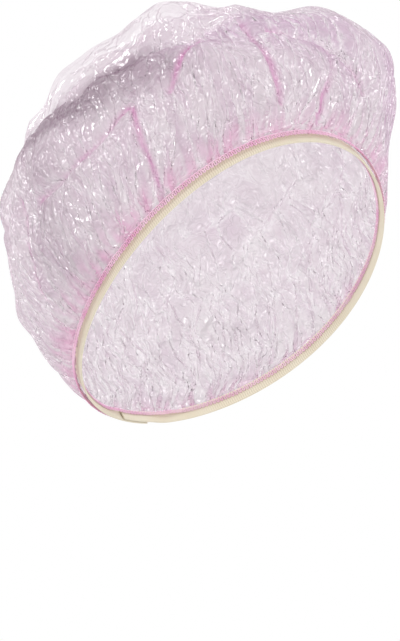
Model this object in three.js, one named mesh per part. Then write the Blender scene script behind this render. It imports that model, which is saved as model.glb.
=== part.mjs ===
// A shower cap as it is worn: a disc of thin film gathered along its edge onto an elastic tape
// and sewn there by a three-thread overlock seam.
// Millimetres, +Z up, forehead towards -Y, wearer's left towards +X.
// The origin is the centre of the head opening.
import * as THREE from "three";

// Head opening: an oval loop in a plane that rises from the nape to the forehead.
const openingLength = 202;
const openingWidth = 168;
const openingTiltDegrees = 44.3;
// The loop dips over the ears, so forehead and nape stand this far above its plane.
const openingSaddle = 3.5;

// Knitted elastic tape, its ends lapped at the nape.
const tapeWidth = 8;
const tapeThickness = 0.9;
const tapeLap = 18;
const tapeLapRamp = 14;
const tapeSteps = 120;

// Film wall, drawn thicker than the real film so that it is a solid.
const filmWall = 0.8;
// The film's edge laps this far down over the outside of the tape.
const hemDepth = 3.2;
// Free room between pieces that are sewn against each other.
const sewnClearance = 0.4;

// Crown: heights are measured square to the opening's plane, from the tape's lower edge.
const crownHeight = 138;
const bellyHeight = 55;
// The widest line stands out past the loop, more at the forehead than at the nape.
const bellyOverhangFront = 28;
const bellyOverhangNape = 7.5;
// The top of the crown leans towards the forehead.
const crownLean = 10.5;

// Gathers along the seam, joining higher up into a few wide folds.
const gatherCount = 24;
const gatherDepth = 3.2;
const wideFoldCount = 11;
const wideFoldDepth = 3;
const crownRings = 12;

// Unevenness of the slack film above the gathers: soft ridges with hollows between them.
const slackPitch = 64;
const slackDepth = 4;

// Puffs and dents of the loose film: where each one sits round the crown (degrees from the
// forehead towards the wearer's left), how high, how far it spreads and how far it stands out.
const crownPuffs = [
  { around: 37, height: 61, spreadAround: 24, spreadHeight: 28, rise: 17 },
  { around: 62, height: 24, spreadAround: 26, spreadHeight: 20, rise: -17 },
  { around: -1, height: 93, spreadAround: 17, spreadHeight: 28, rise: -14 },
  { around: -24, height: 96, spreadAround: 13, spreadHeight: 26, rise: 7 },
  { around: -80, height: 108, spreadAround: 15, spreadHeight: 22, rise: 6 },
  { around: -126, height: 70, spreadAround: 16, spreadHeight: 26, rise: 2.5 },
];

// Long creases of the slack film: the line that each one follows, as places (degrees from the
// forehead, share of the way from the tape to the top), and how far its valley spreads and how deep it is.
const crownCreases = [
  { line: [[-86, 0.57], [-69, 0.5], [-56, 0.45], [-40, 0.44], [-26, 0.42]], spread: 10, depth: 9 },
  { line: [[-53, 0.33], [-56, 0.17], [-58, 0.04]], spread: 9, depth: 4 },
  { line: [[-52, 0.34], [-64, 0.3], [-79, 0.31], [-95, 0.35]], spread: 9, depth: 5 },
  { line: [[-22, 0.46], [-15, 0.3], [-14, 0.12]], spread: 9, depth: 4 },
  { line: [[-9, 0.38], [6, 0.32], [15, 0.25], [22, 0.18]], spread: 9, depth: 4 },
  { line: [[54, 0.52], [76, 0.45], [102, 0.48]], spread: 10, depth: 7 },
  { line: [[86, 0.34], [97, 0.18], [101, 0.06]], spread: 9, depth: 5 },
  { line: [[126, 0.3], [142, 0.42], [166, 0.5], [192, 0.48]], spread: 10, depth: 7 },
  { line: [[170, 0.34], [178, 0.18], [176, 0.06]], spread: 9, depth: 5 },
  { line: [[-152, 0.52], [-134, 0.42], [-116, 0.38]], spread: 10, depth: 6 },
  { line: [[-142, 0.3], [-131, 0.16], [-128, 0.05]], spread: 9, depth: 4 },
  { line: [[-128, 0.7], [178, 0.76], [122, 0.68]], spread: 10, depth: 6 },
  { line: [[70, 0.7], [20, 0.74], [-48, 0.72]], spread: 10, depth: 6 },
];

// Three-thread overlock seam.
const threadDiameter = 0.7;
const stitchLength = 4.5;
const needleLineBelowTapeTop = 1.3;
const needleStitchDip = 0.25;
const looperWidth = 1.5;
const threadSides = 4;

const filmPink = new THREE.MeshStandardMaterial({
  color: "#e9c6de", roughness: 0.18, metalness: 0, transparent: true, opacity: 0.55,
});
const tapeCream = new THREE.MeshStandardMaterial({ color: "#e3dcc9", roughness: 0.9, metalness: 0 });
const needlePink = new THREE.MeshStandardMaterial({ color: "#e58cc0", roughness: 0.75, metalness: 0 });
const upperLooperPink = new THREE.MeshStandardMaterial({ color: "#e078b4", roughness: 0.75, metalness: 0 });
const lowerLooperPink = new THREE.MeshStandardMaterial({ color: "#e9a3cc", roughness: 0.75, metalness: 0 });

const degrees = Math.PI / 180;
const halfLength = openingLength / 2;
const halfWidth = openingWidth / 2;
const threadRadius = threadDiameter / 2;

// The loop in the opening's own frame: X across, -Y to the forehead, Z square to the plane.
// Angles run from the forehead towards the wearer's left.
function loopPoint(angle, outward, height) {
  const normal = new THREE.Vector2(Math.sin(angle) / halfWidth, -Math.cos(angle) / halfLength).normalize();
  return new THREE.Vector3(
    halfWidth * Math.sin(angle) + normal.x * outward,
    -halfLength * Math.cos(angle) + normal.y * outward,
    height + openingSaddle * Math.cos(2 * angle),
  );
}

function smoothStep(from, to, value) {
  return THREE.MathUtils.smoothstep(value, from, to);
}

// Closed solid from rings of points. Rings run the same way round; the sweep is closed on itself
// or has its two ends capped.
function solidFromRings(rings, closedSweep) {
  const sides = rings[0].length;
  const positions = rings.flat().flatMap((point) => [point.x, point.y, point.z]);
  const triangles = [];
  const last = closedSweep ? rings.length : rings.length - 1;
  for (let ring = 0; ring < last; ring += 1) {
    const next = (ring + 1) % rings.length;
    for (let side = 0; side < sides; side += 1) {
      const turn = (side + 1) % sides;
      const a = ring * sides + side;
      const b = ring * sides + turn;
      const c = next * sides + turn;
      const d = next * sides + side;
      triangles.push(a, b, c, a, c, d);
    }
  }
  if (!closedSweep) {
    const end = (rings.length - 1) * sides;
    for (let side = 1; side < sides - 1; side += 1) {
      triangles.push(0, side + 1, side);
      triangles.push(end, end + side, end + side + 1);
    }
  }
  return geometryOf(positions, triangles);
}

function geometryOf(positions, triangles) {
  const geometry = new THREE.BufferGeometry();
  geometry.setAttribute("position", new THREE.Float32BufferAttribute(positions, 3));
  geometry.setIndex(triangles);
  geometry.computeVertexNormals();
  return geometry;
}

function namedMesh(name, geometry, material) {
  const mesh = new THREE.Mesh(geometry, material);
  mesh.name = name;
  return mesh;
}

// Length along the loop from the nape, as a table that turns a length back into an angle.
function loopLengths(samples) {
  const lengths = [0];
  for (let sample = 1; sample <= samples; sample += 1) {
    const before = loopPoint(Math.PI + (2 * Math.PI * (sample - 1)) / samples, 0, 0);
    const here = loopPoint(Math.PI + (2 * Math.PI * sample) / samples, 0, 0);
    lengths.push(lengths[sample - 1] + here.distanceTo(before));
  }
  return lengths;
}

const loopTable = loopLengths(720);
const loopLength = loopTable[loopTable.length - 1];

function angleAtLength(length) {
  const turns = Math.floor(length / loopLength);
  const within = length - turns * loopLength;
  const sample = Math.min(loopTable.findIndex((value) => value > within), loopTable.length - 1);
  const share = (within - loopTable[sample - 1]) / (loopTable[sample] - loopTable[sample - 1]);
  return Math.PI + 2 * Math.PI * (turns + (sample - 1 + share) / (loopTable.length - 1));
}

// Tape: the second end steps inwards by one thickness and lies under the first.
const lapStep = tapeThickness + sewnClearance;

function elasticBand() {
  const runLength = loopLength + tapeLap;
  const rings = [];
  for (let step = 0; step <= tapeSteps; step += 1) {
    const length = (runLength * step) / tapeSteps;
    const angle = angleAtLength(length);
    const outer = -lapStep * smoothStep(loopLength - tapeLapRamp, loopLength, length);
    rings.push([
      loopPoint(angle, outer - tapeThickness, 0),
      loopPoint(angle, outer - tapeThickness, tapeWidth),
      loopPoint(angle, outer, tapeWidth),
      loopPoint(angle, outer, 0),
    ]);
  }
  return solidFromRings(rings, false);
}

// Thread that keeps running round the loop: its centre line is given by the length along the
// loop, and its section has its corners outwards, inwards, up and down.
function threadLoop(centreAt, pointsPerStitch) {
  const stitches = Math.round(loopLength / stitchLength);
  const points = stitches * pointsPerStitch;
  const rings = [];
  for (let point = 0; point < points; point += 1) {
    const length = (loopLength * point) / points;
    const angle = angleAtLength(length);
    const { outward, height } = centreAt(length, (point % pointsPerStitch) / pointsPerStitch);
    const ring = [];
    for (let side = 0; side < threadSides; side += 1) {
      const turn = (2 * Math.PI * side) / threadSides;
      const across = threadRadius * Math.cos(turn);
      const up = threadRadius * Math.sin(turn);
      ring.push(loopPoint(angle, outward + across, height - up));
    }
    rings.push(ring);
  }
  return solidFromRings(rings, true);
}

const hemOuterFace = sewnClearance + filmWall;
const outsideThreadCentre = hemOuterFace + sewnClearance + threadRadius;
const needleLineHeight = tapeWidth - needleLineBelowTapeTop;
const looperTop = needleLineHeight - threadDiameter - sewnClearance;

// Needle thread: a line of stitches that dip towards the film where the needle went in.
function needleThread() {
  return threadLoop((length, phase) => ({
    outward: outsideThreadCentre + (phase === 0 ? 0 : needleStitchDip),
    height: needleLineHeight,
  }), 2);
}

// Upper looper thread: a zigzag on the outside, from the needle line to past the film's edge.
function upperLooperThread() {
  return threadLoop((length, phase) => ({
    outward: outsideThreadCentre,
    height: phase === 0 ? looperTop : looperTop - looperWidth,
  }), 2);
}

// Lower looper thread: the same zigzag against the inside of the tape, over its lapped ends.
function lowerLooperThread() {
  const besideTape = -(tapeThickness + sewnClearance + threadRadius);
  return threadLoop((length, phase) => {
    const beforeLap = smoothStep(loopLength - 2 * tapeLapRamp, loopLength - tapeLapRamp, length);
    const afterLap = 1 - smoothStep(tapeLap, tapeLap + tapeLapRamp, length);
    return {
      outward: besideTape - lapStep * Math.max(beforeLap, afterLap),
      height: phase === 0 ? needleLineHeight : needleLineHeight - looperWidth,
    };
  }, 2);
}

// Standing out of the loose film at one place of the crown, from its puffs and dents.
function puffAt(angle, height) {
  return crownPuffs.reduce((sum, puff) => {
    const apart = THREE.MathUtils.euclideanModulo(angle / degrees - puff.around + 180, 360) - 180;
    const round = apart / puff.spreadAround;
    const high = (height - puff.height) / puff.spreadHeight;
    return sum + puff.rise * Math.exp(-(round * round + high * high) / 2);
  }, 0);
}

// Folds: one ridge and one valley for each gather low down, wide folds higher up, and a smooth top.
function foldAt(angle, column, rise) {
  const uneven = 1 + 0.3 * Math.cos(3 * angle + 1) + 0.25 * Math.cos(7 * angle + 2);
  const gather = gatherDepth * (column % 2 === 0 ? 0.5 : -0.5) * uneven;
  const wander = 0.9 * Math.sin(2 * angle + 0.7) + 0.6 * Math.sin(3 * angle);
  const wide = wideFoldDepth * 0.5 * Math.cos(wideFoldCount * angle + wander) * uneven;
  const gatherShare = smoothStep(0, 0.12, rise) * (1 - smoothStep(0.2, 0.6, rise));
  const wideShare = smoothStep(0.15, 0.45, rise) * (1 - smoothStep(0.5, 0.95, rise));
  return gather * gatherShare + wide * wideShare;
}

// Smooth crown at one angle: a quarter oval out from the tape to the widest line, and another from
// there over to the top. Rise runs from 0 at the tape to 1 at the top.
function crownProfile(angle, rise) {
  const foot = loopPoint(angle, sewnClearance, tapeWidth);
  const reach = Math.hypot(foot.x, foot.y);
  const frontShare = (1 + Math.cos(angle)) / 2;
  const overhang = THREE.MathUtils.lerp(bellyOverhangNape, bellyOverhangFront, frontShare);
  const sweep = (rise * 1.5 - 0.5) * (Math.PI / 2);
  const quarter = sweep < 0 ? sweep * 2 : sweep;
  const below = quarter < 0;
  const outward = below ? reach + overhang * Math.cos(quarter) : (reach + overhang) * Math.cos(quarter);
  const span = below ? bellyHeight - foot.z : crownHeight - bellyHeight;
  const height = bellyHeight + span * Math.sin(quarter);
  return { away: new THREE.Vector2(foot.x / reach, foot.y / reach), quarter, outward, height };
}

// Place on the crown where the film stands out past its smooth form by a swell.
function crownPlace({ away, quarter, outward, height }, swell) {
  const lean = -crownLean * smoothStep(0, crownHeight, height);
  const level = outward + swell * Math.cos(quarter);
  return new THREE.Vector3(away.x * level, away.y * level + lean, height + swell * Math.sin(quarter));
}

const creaseLines = crownCreases.map(({ line }) => (
  line.map(([around, rise]) => crownPlace(crownProfile(around * degrees, rise), 0))
));

function gapToLine(place, line) {
  const nearest = new THREE.Vector3();
  const gaps = line.slice(1).map((end, index) => {
    new THREE.Line3(line[index], end).closestPointToPoint(place, true, nearest);
    return nearest.distanceTo(place);
  });
  return Math.min(...gaps);
}

function creaseAt(place) {
  return crownCreases.reduce((sum, { spread, depth }, index) => {
    const gap = gapToLine(place, creaseLines[index]) / spread;
    return sum + depth * Math.exp(-gap * gap);
  }, 0);
}

// Directions along which the slack film rises and falls, the radians by which each one's wave starts
// after the last, and the mean of their ridges, so that the film stands out as much as in.
const slackPhase = 2;
const slackMean = 0.3;
const slackWays = [[1, 0.3, 0.2], [-0.4, 1, 0.3], [0.3, -0.5, 1], [0.8, 0.7, -0.6]].map((way) => (
  new THREE.Vector3(...way).normalize()
));

function slackAt(place) {
  const waves = slackWays.map((way, index) => {
    const turns = place.dot(way) / slackPitch;
    return Math.cos(2 * Math.PI * turns + slackPhase * index);
  });
  const mean = waves.reduce((sum, wave) => sum + wave, 0) / waves.length;
  return slackDepth * (slackMean - Math.abs(mean));
}

// Inner face of the crown, with its gathers, folds, puffs and creases.
function crownPoint(column, rise) {
  const angle = (2 * Math.PI * column) / (2 * gatherCount);
  const profile = crownProfile(angle, rise);
  const smooth = crownPlace(profile, 0);
  const loose = puffAt(angle, profile.height) + slackAt(smooth) - creaseAt(smooth);
  return crownPlace(profile, foldAt(angle, column, rise) + loose * smoothStep(0, 0.3, rise));
}

// Film: hem, gathered belly and crown as one shell, open at the bottom.
function crownFilm() {
  const columns = 2 * gatherCount;
  const rows = [];
  const ringOf = (pointAt) => Array.from({ length: columns }, (unused, column) => pointAt(column));
  const hemAngle = (column) => (2 * Math.PI * column) / columns;
  rows.push(ringOf((column) => loopPoint(hemAngle(column), sewnClearance, tapeWidth - hemDepth)));
  for (let ring = 0; ring < crownRings; ring += 1) {
    rows.push(ringOf((column) => crownPoint(column, ring / crownRings)));
  }
  const top = crownPoint(0, 1);

  const inner = rows.flat();
  const apex = inner.length;
  inner.push(top);
  const skin = [];
  for (let row = 0; row < rows.length - 1; row += 1) {
    for (let column = 0; column < columns; column += 1) {
      const turn = (column + 1) % columns;
      const a = row * columns + column;
      const b = row * columns + turn;
      const c = b + columns;
      const d = a + columns;
      skin.push(a, b, c, a, c, d);
    }
  }
  const lastRow = (rows.length - 1) * columns;
  for (let column = 0; column < columns; column += 1) {
    skin.push(lastRow + column, lastRow + ((column + 1) % columns), apex);
  }

  const innerFace = geometryOf(inner.flatMap((point) => [point.x, point.y, point.z]), skin);
  const normals = innerFace.getAttribute("normal");
  const outer = inner.map((point, index) => {
    if (index < columns) {
      return loopPoint(hemAngle(index), hemOuterFace, tapeWidth - hemDepth);
    }
    const normal = new THREE.Vector3().fromBufferAttribute(normals, index);
    return point.clone().addScaledVector(normal, filmWall);
  });
  const shift = inner.length;
  const triangles = [];
  for (let corner = 0; corner < skin.length; corner += 3) {
    const [a, b, c] = skin.slice(corner, corner + 3);
    triangles.push(a + shift, b + shift, c + shift, a, c, b);
  }
  for (let column = 0; column < columns; column += 1) {
    const turn = (column + 1) % columns;
    triangles.push(column, turn, turn + shift, column, turn + shift, column + shift);
  }
  const points = inner.concat(outer);
  return geometryOf(points.flatMap((point) => [point.x, point.y, point.z]), triangles);
}

// The opening's frame, tilted so that its front edge is high.
const openingFrame = new THREE.Group();
openingFrame.rotation.x = -openingTiltDegrees * degrees;
openingFrame.add(
  namedMesh("crown_film", crownFilm(), filmPink),
  namedMesh("elastic_band", elasticBand(), tapeCream),
  namedMesh("needle_thread", needleThread(), needlePink),
  namedMesh("upper_looper_thread", upperLooperThread(), upperLooperPink),
  namedMesh("lower_looper_thread", lowerLooperThread(), lowerLooperPink),
);

const showerCap = new THREE.Group();
showerCap.add(openingFrame);

export default showerCap;
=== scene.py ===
import math

import bpy
import numpy as np
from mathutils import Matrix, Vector
from mathutils.bvhtree import BVHTree
from mathutils.kdtree import KDTree


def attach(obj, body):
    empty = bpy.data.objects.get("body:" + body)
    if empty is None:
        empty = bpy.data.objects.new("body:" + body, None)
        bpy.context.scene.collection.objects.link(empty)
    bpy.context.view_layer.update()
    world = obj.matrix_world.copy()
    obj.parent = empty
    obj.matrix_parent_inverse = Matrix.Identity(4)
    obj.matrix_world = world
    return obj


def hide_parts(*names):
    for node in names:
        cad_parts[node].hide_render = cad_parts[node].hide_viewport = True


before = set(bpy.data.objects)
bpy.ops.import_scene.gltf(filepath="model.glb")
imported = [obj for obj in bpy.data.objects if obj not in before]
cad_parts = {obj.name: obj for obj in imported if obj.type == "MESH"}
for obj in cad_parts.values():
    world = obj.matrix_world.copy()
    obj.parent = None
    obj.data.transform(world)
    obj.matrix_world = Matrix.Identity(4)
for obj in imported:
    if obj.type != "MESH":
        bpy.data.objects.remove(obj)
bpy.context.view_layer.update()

# Elastic tape: a narrow knitted strip of cream yarn over rubber cords. It is cut to length, its two
# ends lap at the back, and it is drawn as worn, stretched to an oval loop. Lengths are millimetres
# in the opening's own frame: X across, -Y to the front, Z square to the opening.
OPENING_LENGTH = 202.0
OPENING_WIDTH = 168.0
OPENING_TILT = math.radians(44.3)
OPENING_SADDLE = 3.5
TAPE_WIDTH = 8.0
TAPE_THICKNESS = 0.9
TAPE_LAP = 18.0
TAPE_LAP_RAMP = 14.0
SEWN_CLEARANCE = 0.4
RIB_PITCH = 1.3
RIB_RELIEF = 0.13
RIB_SHARE = 0.7
CORD_PITCH = 1.42
CORD_SHARE = 0.3
ROW_SWAY = 0.75
STEPS_PER_RIB = 4
FACE_STEPS = 11
EDGE_STEPS = 5
LOOP_POINTS = 2881
WELD_GAP = 1e-6
MM_PER_M = 1000.0


def loop_points(angle, outward, height):
    """Points beside the oval loop; angles run from the front towards the left side as worn."""
    normal_x = np.sin(angle) / OPENING_WIDTH
    normal_y = -np.cos(angle) / OPENING_LENGTH
    size = np.hypot(normal_x, normal_y)
    x = OPENING_WIDTH / 2 * np.sin(angle) + outward * normal_x / size
    y = -OPENING_LENGTH / 2 * np.cos(angle) + outward * normal_y / size
    return np.stack([x, y, height + OPENING_SADDLE * np.cos(2 * angle)], axis=-1)


tilt_cos, tilt_sin = math.cos(OPENING_TILT), math.sin(OPENING_TILT)
opening_turn = np.array([[1, 0, 0], [0, tilt_cos, tilt_sin], [0, -tilt_sin, tilt_cos]])


def placed(points):
    """Millimetres in the opening's frame to metres in the frame of the whole cap."""
    return points @ opening_turn.T / MM_PER_M


def smooth_step(low, high, value):
    """0 below the low value, 1 above the high one, and a smooth rise between."""
    share = np.clip((value - low) / (high - low), 0, 1)
    return share * share * (3 - 2 * share)


def linear(hex_colour):
    """sRGB hex to the linear colour that a shader takes."""
    parts = [int(hex_colour[i:i + 2], 16) / 255 for i in (1, 3, 5)]
    return [p / 12.92 if p <= 0.04045 else ((p + 0.055) / 1.055) ** 2.4 for p in parts] + [1.0]


# A Mix node's inputs and output for colours, which go by number.
COLOUR_A, COLOUR_B, COLOUR_OUT = 6, 7, 2


def add_node(tree, kind, settings=None, links=None):
    """One node with its settings, and links given as {socket: (node, output)}."""
    node = tree.nodes.new(kind)
    for key, value in (settings or {}).items():
        if isinstance(key, int) or key in node.inputs:
            node.inputs[key].default_value = value
        else:
            setattr(node, key, value)
    for key, (source, output) in (links or {}).items():
        tree.links.new(source.outputs[output], node.inputs[key])
    return node


def new_material(name):
    """A material without nodes, and its node tree."""
    material = bpy.data.materials.new(name)
    material.use_nodes = True
    material.node_tree.nodes.clear()
    return material, material.node_tree


def point_attribute(thing, name, kind, values):
    """Values for the points of a mesh, which its shader reads by name."""
    data = thing.data.attributes.new(name, kind, "POINT").data
    data.foreach_set("vector" if kind == "FLOAT_VECTOR" else "value", np.ascontiguousarray(values).ravel())


loop_angles = np.linspace(math.pi, 3 * math.pi, LOOP_POINTS)
loop_steps = np.linalg.norm(np.diff(loop_points(loop_angles, 0.0, 0.0), axis=0), axis=1)
loop_lengths = np.concatenate([[0], np.cumsum(loop_steps)])
LOOP_LENGTH = loop_lengths[-1]


def angle_at(length):
    """Angle at a length along the loop, from the back; past the whole loop it starts again."""
    turns = np.floor(length / LOOP_LENGTH)
    return np.interp(length - turns * LOOP_LENGTH, loop_lengths, loop_angles)


# The tape's section: two flat faces and two round edges, going round from the outer face's foot.
edge_radius = TAPE_THICKNESS / 2
face_heights = np.linspace(edge_radius, TAPE_WIDTH - edge_radius, FACE_STEPS)
edge_turn = np.linspace(0, math.pi, EDGE_STEPS + 2)[1:-1]
edge_cos, edge_sin = np.cos(edge_turn), np.sin(edge_turn)
section_out = np.concatenate([np.zeros(FACE_STEPS), edge_radius * (edge_cos - 1),
                              np.full(FACE_STEPS, -TAPE_THICKNESS), -edge_radius * (edge_cos + 1), [0.0]])
section_up = np.concatenate([face_heights, TAPE_WIDTH - edge_radius + edge_radius * edge_sin,
                             face_heights[::-1], edge_radius - edge_radius * edge_sin, face_heights[:1]])
face_one, face_none = np.ones(FACE_STEPS), np.zeros(FACE_STEPS)
normal_out = np.concatenate([face_one, edge_cos, -face_one, -edge_cos, [1.0]])
normal_up = np.concatenate([face_none, edge_sin, face_none, -edge_sin, [0.0]])

run_length = LOOP_LENGTH + TAPE_LAP
tape_steps = round(run_length / RIB_PITCH) * STEPS_PER_RIB
bpy.ops.object.select_all(action="DESELECT")
bpy.ops.mesh.primitive_grid_add(x_subdivisions=tape_steps, y_subdivisions=len(section_out) - 1, size=1)
tape = bpy.context.object
tape.name = tape.data.name = "knitted_elastic_tape"
grid = np.empty(len(tape.data.vertices) * 3)
tape.data.vertices.foreach_get("co", grid)
grid = grid.reshape(-1, 3)
tape_length = (grid[:, 0] + 0.5) * run_length
corner = np.rint((grid[:, 1] + 0.5) * (len(section_out) - 1)).astype(int)
row_sway = ROW_SWAY * np.cos(2 * math.pi * section_up[corner] / (2 * CORD_PITCH))
rib = 0.5 + 0.5 * np.cos(2 * math.pi * tape_length / RIB_PITCH + row_sway)
cord = 0.5 + 0.5 * np.cos(2 * math.pi * section_up[corner] / CORD_PITCH)
knit_height = RIB_SHARE * rib + CORD_SHARE * cord
relief = RIB_RELIEF * (knit_height - 0.5)
lap_step = TAPE_THICKNESS + SEWN_CLEARANCE
tape_out = section_out[corner] + relief * normal_out[corner]
tape_out -= lap_step * smooth_step(LOOP_LENGTH - TAPE_LAP_RAMP, LOOP_LENGTH, tape_length)
tape_points = loop_points(angle_at(tape_length), tape_out, section_up[corner] + relief * normal_up[corner])
tape.data.vertices.foreach_set("co", placed(tape_points).ravel())
point_attribute(tape, "rib_height", "FLOAT", knit_height)
point_attribute(tape, "along_and_up", "FLOAT_VECTOR",
                np.stack([tape_length, section_up[corner], np.zeros(len(corner))], axis=1) / MM_PER_M)
bpy.ops.object.mode_set(mode="EDIT")
bpy.ops.mesh.select_all(action="SELECT")
bpy.ops.mesh.remove_doubles(threshold=WELD_GAP)
bpy.ops.mesh.select_all(action="DESELECT")
bpy.ops.mesh.select_non_manifold()
bpy.ops.mesh.edge_face_add()
bpy.ops.mesh.select_all(action="SELECT")
bpy.ops.mesh.normals_make_consistent(inside=False)
bpy.ops.object.mode_set(mode="OBJECT")
bpy.ops.object.shade_smooth()

# Knitted cotton and rubber: matt cream yarn, paler on the ribs, with a painted brown shade in the grooves
# between them.
YARN_SPACING = 0.0006
WEAR_SIZE = 0.02
PALE_FROM = 0.55
knit, tree = new_material("knitted_cream_elastic")
rib_height = add_node(tree, "ShaderNodeAttribute", {"attribute_name": "rib_height"})
along_tape = add_node(tree, "ShaderNodeAttribute", {"attribute_name": "along_and_up"})
yarn = add_node(tree, "ShaderNodeTexNoise", {"Scale": 1 / YARN_SPACING, "Detail": 2.0, "Roughness": 0.6},
                {"Vector": (along_tape, "Vector")})
wear = add_node(tree, "ShaderNodeTexNoise", {"Scale": 1 / WEAR_SIZE, "Detail": 2.0},
                {"Vector": (along_tape, "Vector")})
# Painted shade: by rib height, from darker brown-grey in the grooves to pale cream on the ribs.
groove_shade_colour = add_node(tree, "ShaderNodeValToRGB", None, {"Fac": (rib_height, "Fac")})
groove_shade_colour.color_ramp.elements[0].color = linear("#bdb39c")
groove_shade_colour.color_ramp.elements[1].color = linear("#e4dccb")
groove_shade_colour.color_ramp.elements[1].position = PALE_FROM
worn = add_node(tree, "ShaderNodeMix",
                {"data_type": "RGBA", "blend_type": "MULTIPLY", COLOUR_B: linear("#f1ece2")},
                {0: (wear, 0), COLOUR_A: (groove_shade_colour, 0)})
yarn_bump = add_node(tree, "ShaderNodeBump", {"Strength": 0.6, "Distance": 0.0002}, {"Height": (yarn, 0)})
cloth = add_node(tree, "ShaderNodeBsdfPrincipled",
                 {"Roughness": 0.9, "Sheen Weight": 0.25, "Sheen Roughness": 0.5, "IOR": 1.45},
                 {"Base Color": (worn, COLOUR_OUT), "Normal": (yarn_bump, 0)})
add_node(tree, "ShaderNodeOutputMaterial", None, {"Surface": (cloth, 0)})
tape.data.materials.append(knit)
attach(tape, "root")
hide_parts("elastic_band")

# Crown film: a disc of thin pink polyethylene, cut flat, its edge gathered onto the tape in small
# tucks and sewn there. Above the tape the slack film stands in pleats, crumples and two clear puffs.
DISC_RADIUS = 238.0
DISC_RINGS = 126
SECTORS = 12
HEM_DEPTH = 3.2
HEM_PLAY = 0.45
SEWN_MARGIN = 0.1
JUST_INSIDE = 1.001
CROWN_CENTRE = np.array([0.0, -4.0, 52.0])
CROWN_RADIUS = 115.0
TOP_LEAN = math.radians(12)
TOP_WAY = np.array([0.0, -math.sin(TOP_LEAN), math.cos(TOP_LEAN)])
rng = np.random.default_rng(7)


def cut_disc(rings, radius):
    """A flat disc of narrow triangles: radius and angle of each point, and the triangles."""
    start = [0, 1]
    spots = [np.zeros((1, 2))]
    faces = []
    for k in range(1, rings + 1):
        count = SECTORS * k
        angle = 2 * math.pi * np.arange(count) / count
        spots.append(np.stack([np.full(count, radius * k / rings), angle], axis=1))
        sector = np.repeat(np.arange(SECTORS), k)
        place = np.tile(np.arange(k), SECTORS)
        outer = start[k] + sector * k + place
        outer_next = start[k] + (sector * k + place + 1) % count
        inner_count = max(1, SECTORS * (k - 1))
        inner = start[k - 1] + (sector * (k - 1) + place) % inner_count
        faces.append(np.stack([outer, outer_next, inner], axis=1))
        if k > 1:
            keep = place < k - 1
            inner_next = start[k - 1] + (sector * (k - 1) + place + 1) % inner_count
            faces.append(np.stack([inner, outer_next, inner_next], axis=1)[keep])
        start.append(start[k] + count)
    return np.concatenate(spots), np.concatenate(faces)


def edges_and_hinges(faces):
    """Every edge once, and for each inner edge the two points across it."""
    sides = np.concatenate([faces[:, [0, 1]], faces[:, [1, 2]], faces[:, [2, 0]]])
    across = np.concatenate([faces[:, 2], faces[:, 0], faces[:, 1]])
    low = sides.min(axis=1).astype(np.int64)
    high = sides.max(axis=1).astype(np.int64)
    key = low * (faces.max() + 1) + high
    order = np.argsort(key, kind="stable")
    key, across, sides = key[order], across[order], np.stack([low, high], 1)[order]
    first = np.ones(len(key), bool)
    first[1:] = key[1:] != key[:-1]
    paired = np.flatnonzero(~first)
    return sides[first], np.stack([across[paired - 1], across[paired]], axis=1)


def table_value(table, across, down):
    """Value of a table at fractional rows, which go round, and columns, which don't."""
    rows, columns = table.shape[:2]
    column = np.clip(down, 0, columns - JUST_INSIDE)
    row0, column0 = np.floor(across).astype(int), column.astype(int)
    row_part, column_part = across - row0, column - column0
    if table.ndim == 3:
        row_part, column_part = row_part[:, None], column_part[:, None]
    row0 = row0 % rows
    row1 = (row0 + 1) % rows
    near = (1 - column_part) * table[row0, column0] + column_part * table[row0, column0 + 1]
    far = (1 - column_part) * table[row1, column0] + column_part * table[row1, column0 + 1]
    return (1 - row_part) * near + row_part * far


def ways_from_centre(around, polar):
    """Unit vectors for angles round the crown's centre and down from its top."""
    return np.stack([np.sin(polar) * np.sin(around), -np.sin(polar) * np.cos(around), np.cos(polar)],
                    axis=-1)


def seen_from_centre(points):
    """Distance from the crown's centre, angle round it and angle down from its top."""
    away = points - CROWN_CENTRE
    size = np.linalg.norm(away, axis=-1)
    around = np.arctan2(away[..., 0], -away[..., 1])
    polar = np.arccos(np.clip(away[..., 2] / size, -1, 1))
    return size, around, polar


# Reach of the crown in every direction from its centre, read from the solid and smoothed.
RAYS_AROUND, RAYS_DOWN = 180, 120
POLAR_END = math.radians(150)
SMOOTHED_AROUND, SMOOTHED_DOWN = 5, 3
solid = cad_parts["crown_film"]
solid_points = np.array([v.co for v in solid.data.vertices]) @ opening_turn * MM_PER_M
solid_tree = BVHTree.FromPolygons(solid_points.tolist(), [list(p.vertices) for p in solid.data.polygons])
ray_around = 2 * math.pi * np.arange(RAYS_AROUND) / RAYS_AROUND
ray_polar = np.linspace(0, POLAR_END, RAYS_DOWN)
rays = ways_from_centre(*np.meshgrid(ray_around, ray_polar, indexing="ij"))
reach = np.full((RAYS_AROUND, RAYS_DOWN), np.nan)
for i in range(RAYS_AROUND):
    for j in range(RAYS_DOWN):
        spot, _, _, distance = solid_tree.ray_cast(Vector(CROWN_CENTRE), Vector(rays[i, j]))
        if spot is not None:
            reach[i, j] = distance
    met = np.flatnonzero(~np.isnan(reach[i]))
    reach[i] = np.interp(np.arange(RAYS_DOWN), met, reach[i, met])
for _ in range(SMOOTHED_AROUND):
    reach = (np.roll(reach, 1, 0) + np.roll(reach, -1, 0) + 2 * reach) / 4
for _ in range(SMOOTHED_DOWN):
    padded = np.pad(reach, ((0, 0), (1, 1)), mode="edge")
    reach = (padded[:, :-2] + padded[:, 2:] + 2 * reach) / 4


def reach_at(table, around, polar):
    """Value of a table of directions at angles round the centre and down from the top."""
    rows, columns = table.shape
    return table_value(table, around / (2 * math.pi) * rows, polar / POLAR_END * (columns - 1))


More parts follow.
